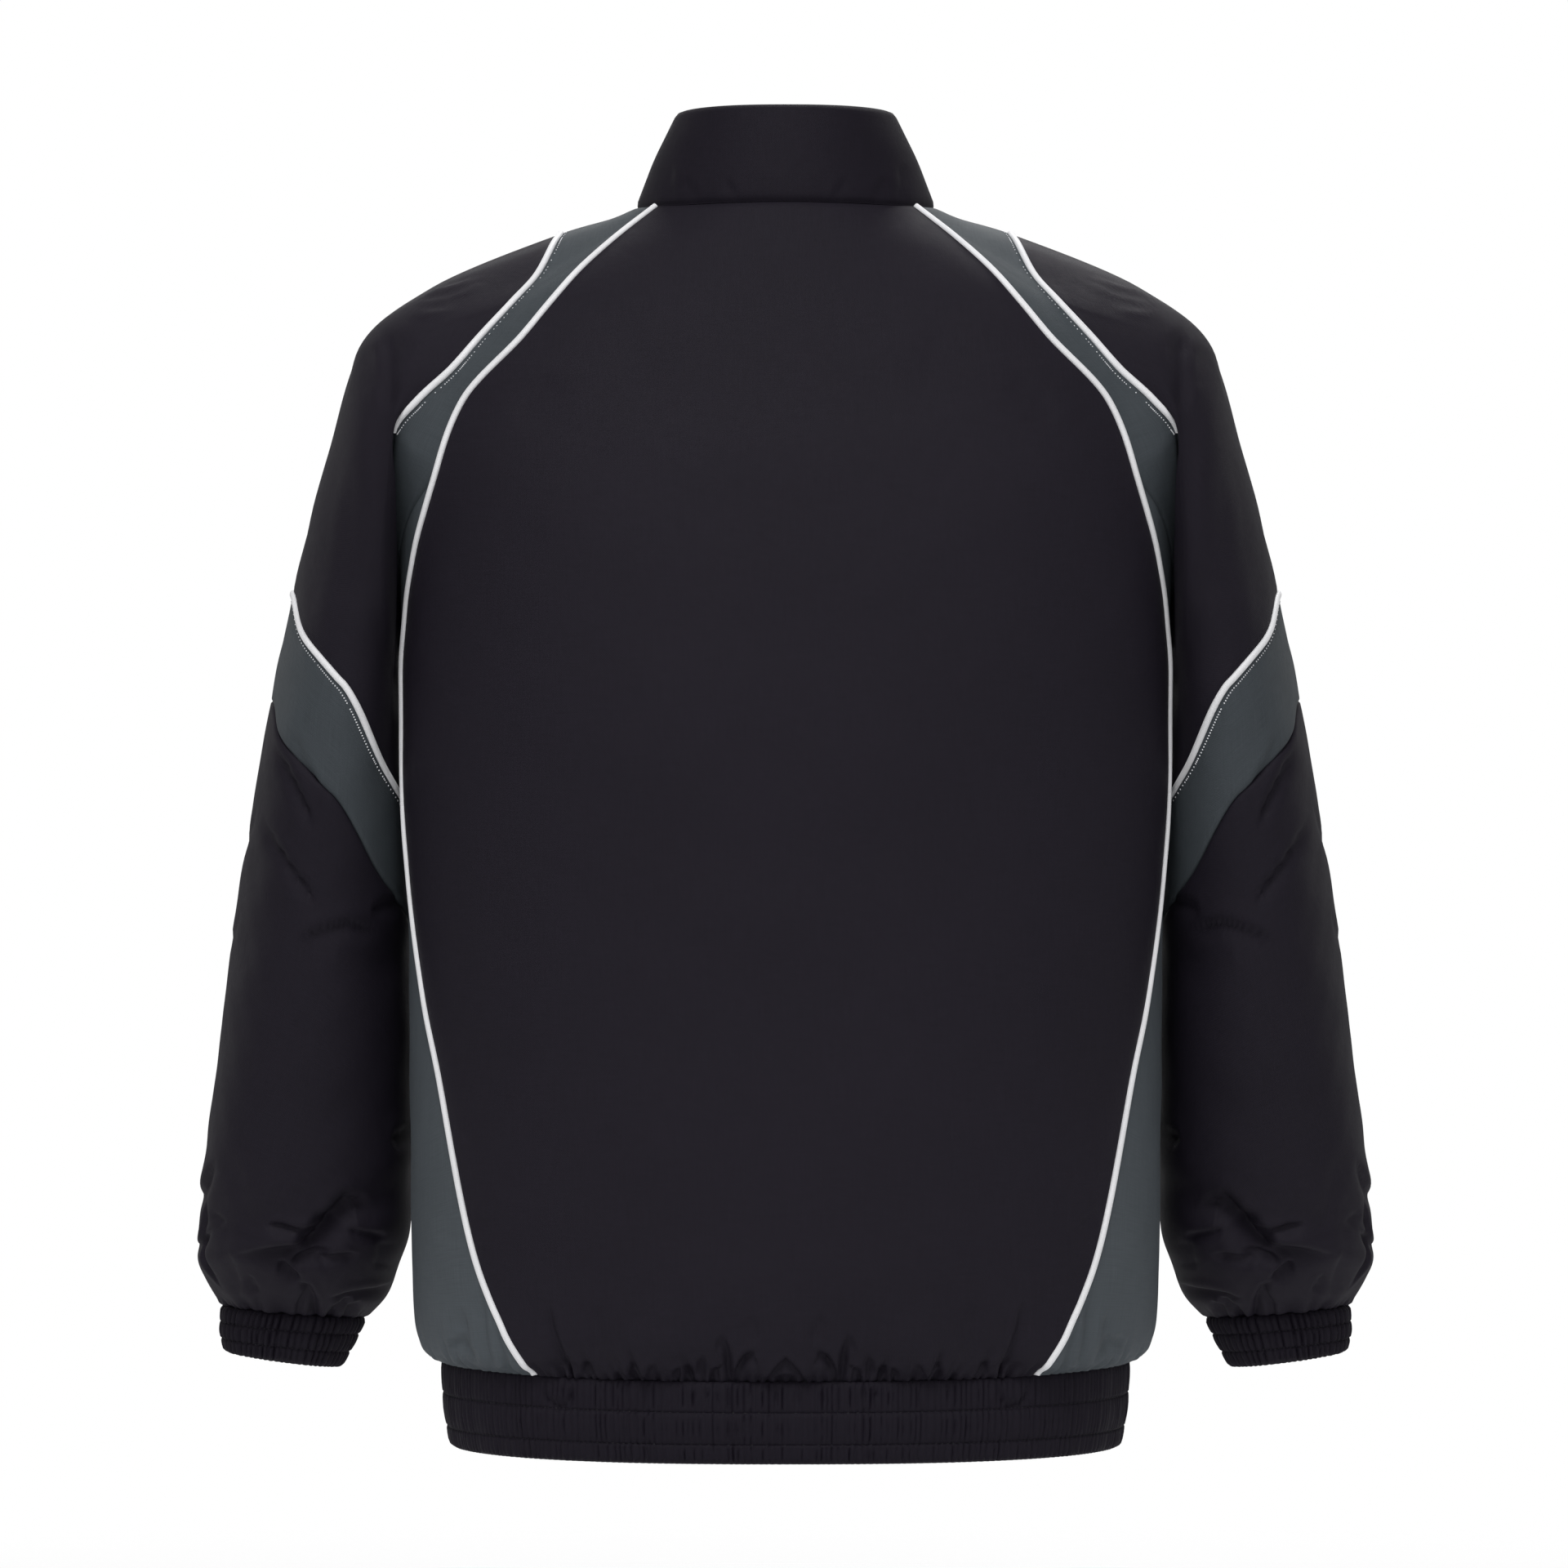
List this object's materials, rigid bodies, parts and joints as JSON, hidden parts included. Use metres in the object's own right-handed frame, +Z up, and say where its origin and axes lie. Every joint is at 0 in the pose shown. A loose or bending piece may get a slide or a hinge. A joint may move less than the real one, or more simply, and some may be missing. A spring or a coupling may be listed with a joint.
{
  "type": "track jacket",
  "caption": "Worn, zipped-up track jacket with a stand collar, contrast shoulder bands and sleeve bands, piped seams and gathered hem band and cuffs; hollow and open at neck, hem and cuffs.",
  "frame": {"origin": "centre line of the neck seam's height at the back, on the wearer's neck axis", "axes": "metres; +Z up along the wearer, the zipped front faces -Y, +X is the wearer's left"},
  "size_m": [0.673, 0.2774, 0.7529],
  "materials": {
    "black_cloth": "matt woven polyester",
    "grey_cloth": "matt woven polyester",
    "piping": "smooth corded piping",
    "zip_tape": "woven tape",
    "zip_metal": "dark enamel"
  },
  "bodies": {
    "jacket": {"back": "black_cloth", "back_piping_left": "piping", "back_piping_right": "piping", "collar": "black_cloth", "cuff_left": "black_cloth", "cuff_right": "black_cloth", "front_left": "black_cloth", "front_piping_left": "piping", "front_piping_right": "piping", "front_right": "black_cloth", "hem_band": "black_cloth", "lower_sleeve_left": "black_cloth", "lower_sleeve_right": "black_cloth", "shoulder_band_left": "grey_cloth", "shoulder_band_right": "grey_cloth", "shoulder_piping_left": "piping", "shoulder_piping_right": "piping", "side_left": "grey_cloth", "side_right": "grey_cloth", "sleeve_band_left": "grey_cloth", "sleeve_band_right": "grey_cloth", "sleeve_piping_left": "piping", "sleeve_piping_right": "piping", "upper_sleeve_left": "black_cloth", "upper_sleeve_right": "black_cloth", "zip_slider": "zip_metal", "zip_tape_left": "zip_tape", "zip_tape_right": "zip_tape"},
    "pull": {"zip_pull": "zip_metal"}
  },
  "joints": [
    {"name": "pull_hinge", "type": "hinge", "parent": "jacket", "child": "pull", "pos_m": [0, -0.07443, 0.00033], "axis": [-1, 0, 0], "range_deg": [0, 150]}
  ]
}
